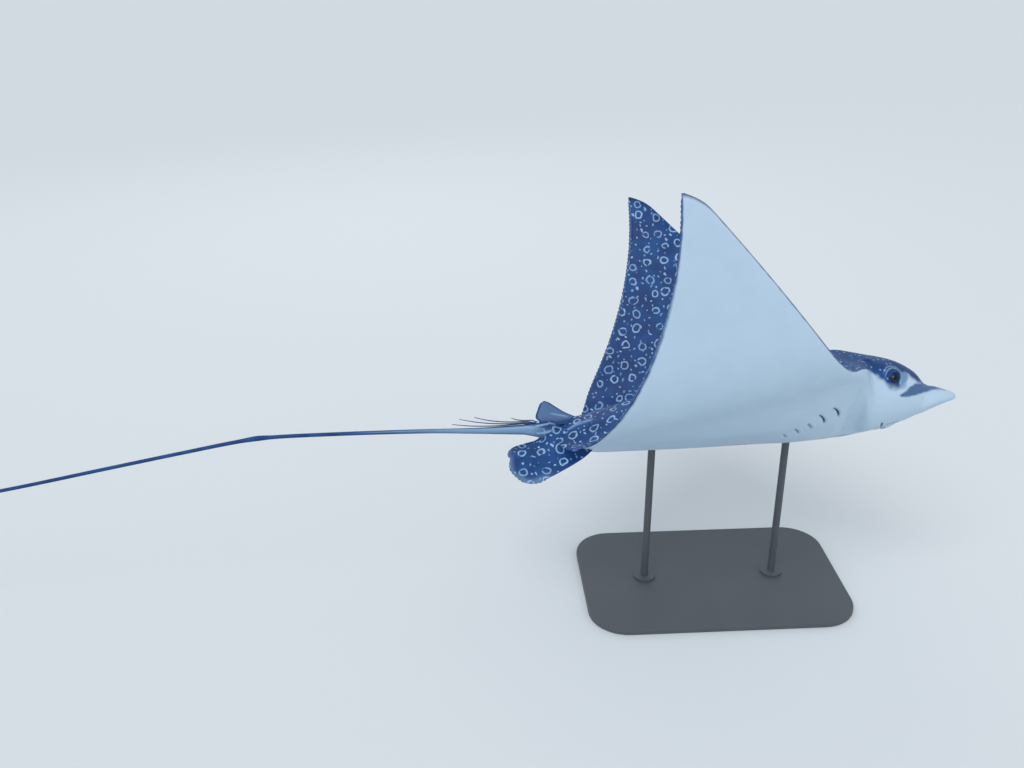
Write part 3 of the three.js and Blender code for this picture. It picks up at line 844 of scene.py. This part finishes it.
# an ellipse carried along a parabola through three points, sqrt(1 - k^1.7) wide, its edges cut by a saw wave
def stingShell(start, half, tip, sideways, wide):
    k = np.linspace(0, 1, sting["steps"])[:, None]
    first, middle, last = [np.array([-s, y, z]) for (s, z), y in zip((start, half, tip), sideways)]
    pull = 2 * middle - (first + last) / 2
    path = (1 - k) ** 2 * first + 2 * k * (1 - k) * pull + k * k * last
    path[:, 2] -= 4.5 * fade(k[:, 0] / 0.16)
    length = np.linalg.norm(last - first)
    taper = np.sqrt(np.maximum(1 - k**1.7, 0)) * 0.93 + 0.07
    saw = np.mod(k * length / sting["barbPitch"], 1)
    barbed = smooth((k - 0.3) / 0.1) * fade((k - 0.94) / 0.04)
    a = turns(sting["around"])[None]
    cut = 1 - sting["barbDeep"] * barbed * saw * np.abs(np.cos(a)) ** 3
    across = wide * (1 + 0.25 * np.exp(-k / 0.12)) * taper * cut * np.cos(a)
    ridge = sting["ridge"] * taper * bell((a - math.pi / 2) / 0.35)
    up = sting["halfThick"] * (0.4 + 0.6 * taper) * np.sin(a) + ridge
    p = path[:, None, :] + np.stack([0 * across, across, up], -1)
    values = np.stack([k + 0 * across, np.abs(np.cos(a)) + 0 * across], -1)
    return capped(np.concatenate([placed(p), values], -1))


def colour(code):  # sRGB hex to linear
    parts = [int(code[i : i + 2], 16) / 255 for i in (1, 3, 5)]
    return (*[c / 12.92 if c <= 0.04045 else ((c + 0.055) / 1.055) ** 2.4 for c in parts], 1)


soft, times, rgba = {"interpolation_type": "SMOOTHSTEP"}, {"operation": "MULTIPLY"}, {"data_type": "RGBA"}


def fill(node, inputs):  # a node's inputs, from values, hex colours, sockets or other nodes
    for socket, value in inputs.items():
        if isinstance(value, str):
            value = colour(value)
        if isinstance(value, bpy.types.Node):
            value = next(out for out in value.outputs if out.enabled)
        if isinstance(value, bpy.types.NodeSocket):
            node.id_data.links.new(value, node.inputs[socket])
        else:
            node.inputs[socket].default_value = value


def addNode(tree, kind, inputs=None, **settings):  # a node with its settings and links
    node = tree.nodes.new("ShaderNode" + kind)
    for name, value in settings.items():
        setattr(node, name, value)
    fill(node, inputs or {})
    return node


def materialNamed(name):
    material = bpy.data.materials.new(name)
    material.use_nodes = True
    tree = material.node_tree
    return material, tree.nodes["Principled BSDF"], partial(addNode, tree)


skinLook = {
    "back": "#15386e",
    "backLight": "#21508c",
    "mark": "#9dc0e4",
    "paleBlue": "#9dc0e0",
    "belly": "#bcd3e6",
    "bellyShade": "#b8d0e4",
    "grooveShadeAndLidDark": "#1a3157",
    "ringSpacing": 43,  # mm
    "ringRadius": (7.2, 10.2),
    "dotSpacing": 15.5,
    "clearOfRings": 15,
    "wander": 9,
    # how many to the metre: 16, 42, 2.6, 2.4 and 29 mm apart
    "limitWander": 62.0,
    "clouds": 24.0,
    "freckles": 380.0,
    "pores": 420.0,
    "swellings": 34.0,
    "roughness": 0.5,
}


# varnished paint over smooth skin: a satin surface with broad soft highlights over its pattern
def raySkin():
    material, shader, add = materialNamed("raySkinSatin")
    look = skinLook
    flat, plane = {"noise_dimensions": "2D"}, {"voronoi_dimensions": "2D"}
    s, t, shade, cutOff, grooveShadeAndLidDarkAmount, pale, kind = [
        add("Attribute", attribute_name=name).outputs["Fac"] for name in readings
    ]
    place = add("CombineXYZ", {0: s, 1: t, 2: 0.0})
    inMetres = add("TexCoord").outputs["Object"]

    # a slow wander of about 3 mm keeps the marks from being drawn with a compass
    drift = add("TexNoise", {"Vector": place, "Scale": 1 / 22, "Detail": 1.0}, **flat)
    drift = add("VectorMath", {0: drift.outputs["Color"], 1: (0.5, 0.5, 0.5)}, operation="SUBTRACT")
    drift = add("VectorMath", {0: drift, "Scale": look["wander"]}, operation="SCALE")
    moved = add("VectorMath", {0: place, 1: drift}, operation="ADD")

    # rings: a band at a set distance from the points of a jittered grid
    step = look["ringSpacing"]
    grid = {"Scale": 1 / step, "Randomness": 0.45}
    cell = add("TexVoronoi", {"Vector": moved, **grid}, **plane)
    chance = add("SeparateColor", {0: cell.outputs["Color"]}).outputs
    away = add("Math", {0: cell.outputs["Distance"], 1: step}, **times)
    small, large = look["ringRadius"]
    radius = add("MapRange", {0: chance[0], 3: small, 4: large})
    off = add("Math", {0: away, 1: radius}, operation="SUBTRACT")
    off = add("Math", {0: off}, operation="ABSOLUTE")
    ring = add("MapRange", {0: off, 1: 1.1, 2: 2.6, 3: 1.0, 4: 0.0}, **soft)
    gaps = add("TexNoise", {"Vector": moved, "Scale": 1 / 11, "Detail": 0.0}, **flat)
    whole = add("MapRange", {0: gaps, 1: 0.24, 2: 0.36, 3: 0.1, 4: 1.0}, **soft)
    strength = add("MapRange", {0: chance[1], 3: 0.55, 4: 1.0})
    onFin = add("MapRange", {0: s, 1: 268.0, 2: 285.0}, **soft)
    for limit in (whole, strength, onFin):
        ring = add("Math", {0: ring, 1: limit}, **times)

    # dots and dashes: an oval turned within 50 degrees of the fin's length in each cell of a finer grid,
    # left out where the middle of its cell is near a ring
    fineGrid = {"Vector": moved, "Scale": 1 / look["dotSpacing"], "Randomness": 0.7}
    fineCell = add("TexVoronoi", fineGrid, **plane)
    luck = add("SeparateColor", {0: fineCell.outputs["Color"]}).outputs
    middle = fineCell.outputs["Position"]
    local = add("VectorMath", {0: moved, 1: middle}, operation="SUBTRACT")
    angle = add("MapRange", {0: luck[0], 3: 0.7, 4: 2.44})
    turned = add("VectorRotate", {"Vector": local, "Angle": angle}, rotation_type="Z_AXIS")
    long = add("MapRange", {0: luck[1], 1: 0.4, 3: 2.7, 4: 6.8}, **soft)
    wide = add("MapRange", {0: luck[2], 3: 1.9, 4: 3.1})
    size = add("CombineXYZ", {0: long, 1: wide, 2: 1.0})
    oval = add("VectorMath", {0: turned, 1: size}, operation="DIVIDE")
    oval = add("VectorMath", {0: oval}, operation="LENGTH").outputs["Value"]
    dot = add("MapRange", {0: oval, 1: 0.7, 2: 1.25, 3: 1.0, 4: 0.0}, **soft)
    nearRing = add("TexVoronoi", {"Vector": middle, **grid}, **plane).outputs["Distance"]
    least = look["clearOfRings"] / step
    clear = add("Math", {0: nearRing, 1: least}, operation="GREATER_THAN")
    few = add("Math", {0: luck[2], 1: 0.35}, operation="GREATER_THAN")
    few = add("Math", {0: few, 1: onFin}, operation="SUBTRACT")
    clear = add("Math", {0: clear, 1: few}, operation="MAXIMUM")
    bright = add("MapRange", {0: luck[0], 3: 0.5, 4: 1.0})
    for limit in (clear, bright):
        dot = add("Math", {0: dot, 1: limit}, **times)
    marks = add("Math", {0: ring, 1: dot}, operation="MAXIMUM")

    # the marks stay inside the dark back, behind the brow, and off the tail and the dorsal fin
    for value, start, end, low, high in (
        (shade, 3.0, 7.0, 0.0, 1.0),
        (s, 140.0, 165.0, 0.0, 1.0),
        (kind, 1.1, 1.9, 1.0, 0.0),
        (pale, 0.2, 0.6, 1.0, 0.25),
        (grooveShadeAndLidDarkAmount, 0.0, 0.4, 1.0, 0.0),
    ):
        limit = add("MapRange", {0: value, 1: start, 2: end, 3: low, 4: high}, **soft)
        marks = add("Math", {0: marks, 1: limit}, **times)

    # countershading, its limit moved about by under 2 mm on the head and less on the fins
    uneven = add("TexNoise", {"Vector": inMetres, "Scale": look["limitWander"], "Detail": 0.0})
    uneven = add("MapRange", {0: uneven, 1: 0.25, 2: 0.75, 3: -1.7, 4: 1.7}, **soft)
    steady = add("MapRange", {0: s, 1: 250.0, 2: 330.0, 3: 1.0, 4: 0.5}, **soft)
    uneven = add("Math", {0: uneven, 1: steady}, **times)
    dark = add("Math", {0: shade, 1: uneven}, operation="ADD")
    dark = add("MapRange", {0: dark, 1: -4.8, 2: 4.8}, **soft)

    # the colours: clouds and freckles on the back, faint clouds on the belly, then the marks, and last
    # painted shade in the slits, grooves and pits, whose dark colour also goes on the lid rims at half
    # strength
    clouds = add("TexNoise", {"Vector": inMetres, "Scale": look["clouds"], "Detail": 5.0})
    cloud = add("MapRange", {0: clouds, 1: 0.3, 2: 0.7}, **soft)
    freckle = add("TexNoise", {"Vector": inMetres, "Scale": look["freckles"], "Detail": 2.0})
    freckle = add("MapRange", {0: freckle, 1: 0.4, 2: 0.75, 3: 0.0, 4: 0.3}, **soft)
    # pale blue lightens the back for the pale marks on the head and fins, and for the painted highlights and
    # painted light on the ridges and the tail
    back = look["back"]
    for amount, shown in ((cloud, "backLight"), (freckle, "backLight"), (pale, "paleBlue"), (marks, "mark")):
        back = add("Mix", {0: amount, 6: back, 7: look[shown]}, **rgba)
    belly = add("Mix", {0: cloud, 6: look["belly"], 7: look["bellyShade"]}, **rgba)
    skin = add("Mix", {0: dark, 6: belly, 7: back}, **rgba)
    # painted shade down the middle of each slit, groove and pit; the lid rims take its colour at half
    # strength
    grooveShadeAndLidDark = add("Math", {0: cutOff}, operation="ABSOLUTE")
    grooveShadeAndLidDark = add("MapRange", {0: grooveShadeAndLidDark, 1: 0.8, 2: 2.8, 3: 1.0, 4: 0.0}, **soft)
    grooveShadeAndLidDark = add("Math", {0: grooveShadeAndLidDark, 1: grooveShadeAndLidDarkAmount}, **times)
    skin = add("Mix", {0: grooveShadeAndLidDark, 6: skin, 7: look["grooveShadeAndLidDark"]}, **rgba)
    least, most = look["roughness"] - 0.07, look["roughness"] + 0.09
    gloss = add("MapRange", {0: clouds, 1: 0.2, 2: 0.8, 3: least, 4: most}, **soft)
    fill(shader, {"Base Color": skin, "Roughness": gloss, "IOR": 1.38, "Specular IOR Level": 0.3})
    fill(shader, {"Coat Weight": 0.05, "Coat Roughness": 0.3})

    # pores under half a millimetre, drawn coarser so that they show, over slow swellings of the flesh
    grain = add("TexNoise", {"Vector": inMetres, "Scale": look["pores"], "Detail": 3.0})
    swell = add("TexNoise", {"Vector": inMetres, "Scale": look["swellings"], "Detail": 3.0})
    fine = add("Bump", {"Height": grain, "Strength": 0.35, "Distance": 0.0003})
    broad = add("Bump", {"Height": swell, "Normal": fine, "Strength": 0.2, "Distance": 0.0012})
    fill(shader, {"Normal": broad})
    return material


skinMaterial = raySkin()
shells = [bodyShell(), dorsalShell()]
for side in (1, -1):
    shells += [pelvicShell(side), pelvicFringe(side), finFringe(side)]
    shells += [lidShell(side, -lid["corner"], math.pi + lid["corner"])]
    shells += [lidShell(side, math.pi - lid["corner"], 2 * math.pi + lid["corner"])]
skin = meshOf("raySkin", shells, readings, skinMaterial)
paired = [f"{side}_{fin}_fin" for side in ("left", "right") for fin in ("pectoral", "pelvic")]
tailNodes = [f"tail_{i}" for i in range(1, 7)]
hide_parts("head", "trunk", "rostral_lobe", *paired, "dorsal_fin", *tailNodes)
print("skin made")

eyeLook = {
    "pupil": "#03050a",
    "iris": "#2c3d58",
    "irisDark": "#0f1826",
    "white": "#0e1828",
    "pupilWide": 0.4,  # radians from the axis
    "irisWide": 0.66,
    "limitBlur": 0.03,
}


def glassEye():  # a glass eye: a dark pupil and a flecked iris under a clear, very smooth front
    material, shader, add = materialNamed("glassEye")
    off = add("Attribute", attribute_name="fromAxis").outputs["Fac"]
    turn = add("Attribute", attribute_name="aroundAxis").outputs["Fac"]
    polar = add("CombineXYZ", {0: off, 1: turn, 2: 0.0})
    spokes = add("VectorMath", {0: polar, 1: (6.0, 5.0, 1.0)}, **times)
    flecks = add("TexNoise", {"Vector": spokes, "Scale": 3.0, "Detail": 4.0})
    iris = add("Mix", {0: flecks, 6: eyeLook["irisDark"], 7: eyeLook["iris"]}, **rgba)
    shown = eyeLook["white"]
    blur = eyeLook["limitBlur"]
    for edge, inside in ((eyeLook["irisWide"], iris), (eyeLook["pupilWide"], eyeLook["pupil"])):
        amount = add("MapRange", {0: off, 1: edge - blur, 2: edge + blur, 3: 1.0, 4: 0.0})
        shown = add("Mix", {0: amount, 6: shown, 7: inside}, **rgba)
    fill(shader, {"Base Color": shown, "Roughness": 0.07, "IOR": 1.38})
    return material


eyeMaterial = glassEye()
for name, node, side in (("leftEyeBall", "left_eye", 1), ("rightEyeBall", "right_eye", -1)):
    eye = meshOf(name, [eyeShell(side)], ["fromAxis", "aroundAxis"], eyeMaterial)
    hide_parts(node)
print("eyes made")

stingLook = {
    "root": "#1f4379",
    "tip": "#1b3868",
    "edge": "#3a659c",
    "roughness": 0.42,
}


# hard spine under a thin dark skin: fine grain along its length, paler along the barbs
def stingBone():
    material, shader, add = materialNamed("stingBone")
    length = add("Attribute", attribute_name="alongSting").outputs["Fac"]
    edge = add("Attribute", attribute_name="towardEdge").outputs["Fac"]
    shown = stingLook["root"]
    toEdge = add("MapRange", {0: edge, 1: 0.8, 2: 1.0, 4: 0.5})
    for amount, name in ((length, "tip"), (toEdge, "edge")):
        shown = add("Mix", {0: amount, 6: shown, 7: stingLook[name]}, **rgba)
    inMetres = add("TexCoord").outputs["Object"]
    drawn = add("VectorMath", {0: inMetres, 1: (60, 1400, 1400)}, **times)
    grain = add("TexNoise", {"Vector": drawn, "Scale": 1.0, "Detail": 2.0})
    bump = add("Bump", {"Height": grain, "Strength": 0.5, "Distance": 0.0003})
    fill(shader, {"Base Color": shown, "Roughness": stingLook["roughness"], "IOR": 1.5, "Normal": bump})
    return material


blades = [stingShell(*blade) for blade in sting["blades"]]
stings = meshOf("tailStings", blades, ["alongSting", "towardEdge"], stingBone())
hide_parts("sting_1", "sting_2", "sting_3", "sting_4")
print("stings made")

standLook = {
    "colour": "#4a4f55",
    "worn": "#575c62",
    "roughness": 0.55,
    "peel": 2.2,  # mm between the coat's swellings, drawn about twice as coarse as they are
}


def powderCoat():  # baked powder paint on steel: matt, with the fine swellings of orange peel
    material, shader, add = materialNamed("powderCoatedSteel")
    inMetres = add("TexCoord").outputs["Object"]
    scale = 1 / (standLook["peel"] * metre)
    peel = add("TexNoise", {"Vector": inMetres, "Scale": scale, "Detail": 2.0})
    cloud = add("TexNoise", {"Vector": inMetres, "Scale": 9.0, "Detail": 4.0})
    shown = add("Mix", {0: cloud, 6: standLook["colour"], 7: standLook["worn"]}, **rgba)
    least, most = standLook["roughness"] - 0.08, standLook["roughness"] + 0.1
    gloss = add("MapRange", {0: cloud, 3: least, 4: most})
    bump = add("Bump", {"Height": peel, "Strength": 0.3, "Distance": 0.0002})
    fill(shader, {"Base Color": shown, "Roughness": gloss, "Normal": bump})
    return material


paint = powderCoat()
for name in ("stand_base", "stand_rod_front", "stand_rod_rear"):
    for slot in bpy.data.objects[name].material_slots:
        slot.material = paint
print("stand painted")

view = {
    "place": (-0.658, -2.3247, 1.6556),
    "forward": (0.0575, 0.9049, -0.4218),
    "lens": 38.67,
    "sensor": 36,
}


def aimed(name, data, place, forward):  # a camera or lamp that looks along forward
    made = bpy.data.objects.new(name, data)
    made.location = place
    made.rotation_mode = "QUATERNION"
    made.rotation_quaternion = Vector(forward).to_track_quat("-Z", "Y")
    bpy.context.scene.collection.objects.link(made)
    return made


def makeCamera():
    data = bpy.data.cameras.new("camera")
    data.lens, data.sensor_width = view["lens"], view["sensor"]
    data.clip_end = 200
    bpy.context.scene.camera = aimed("camera", data, view["place"], view["forward"])


studio = {
    "floor": "#dfe3e6",
    "floorHalf": 60,
    "sunFrom": (-0.55, -1.0, 1.5),
    "sunPower": 1.05,
    "sunWide": 38,  # degrees across, for soft shadows
    "skyTint": "#e4ebf1",
    "skyPower": 0.78,
    # softboxes: place, target, size, power
    "boxes": {
        "fill": [(3.0, -3.0, 2.4), (0.1, 0, 0.6), 2.6, 9],
        "rim": [(-1.2, 3.8, 3.0), (0, 0, 0.7), 2.6, 14],
    },
}


def makeLights():
    sun = bpy.data.lights.new("sun", "SUN")
    sun.energy, sun.angle = studio["sunPower"], math.radians(studio["sunWide"])
    aimed("sun", sun, studio["sunFrom"], -Vector(studio["sunFrom"]))
    for name, (place, target, size, power) in studio["boxes"].items():
        box = bpy.data.lights.new(name, "AREA")
        box.energy, box.size = power, size
        aimed(name, box, place, Vector(target) - Vector(place))
    world = bpy.data.worlds.new("world")
    world.use_nodes = True
    fill(world.node_tree.nodes["Background"], {0: studio["skyTint"], 1: studio["skyPower"]})
    bpy.context.scene.world = world
    bpy.context.scene.view_settings.view_transform = "Standard"


def makeFloor():  # painted boards, matt and even
    half = studio["floorHalf"]
    data = bpy.data.meshes.new("floor")
    corners = [(-half, -half, 0), (half, -half, 0), (half, half, 0), (-half, half, 0)]
    data.from_pydata(corners, [], [(0, 1, 2, 3)])
    floor = bpy.data.objects.new("floor", data)
    material, shader, _ = materialNamed("floorMatt")
    fill(shader, {"Base Color": studio["floor"], "Roughness": 0.9})
    data.materials.append(material)
    bpy.context.scene.collection.objects.link(floor)


makeCamera()
makeFloor()
makeLights()
print("camera, floor and lights made")
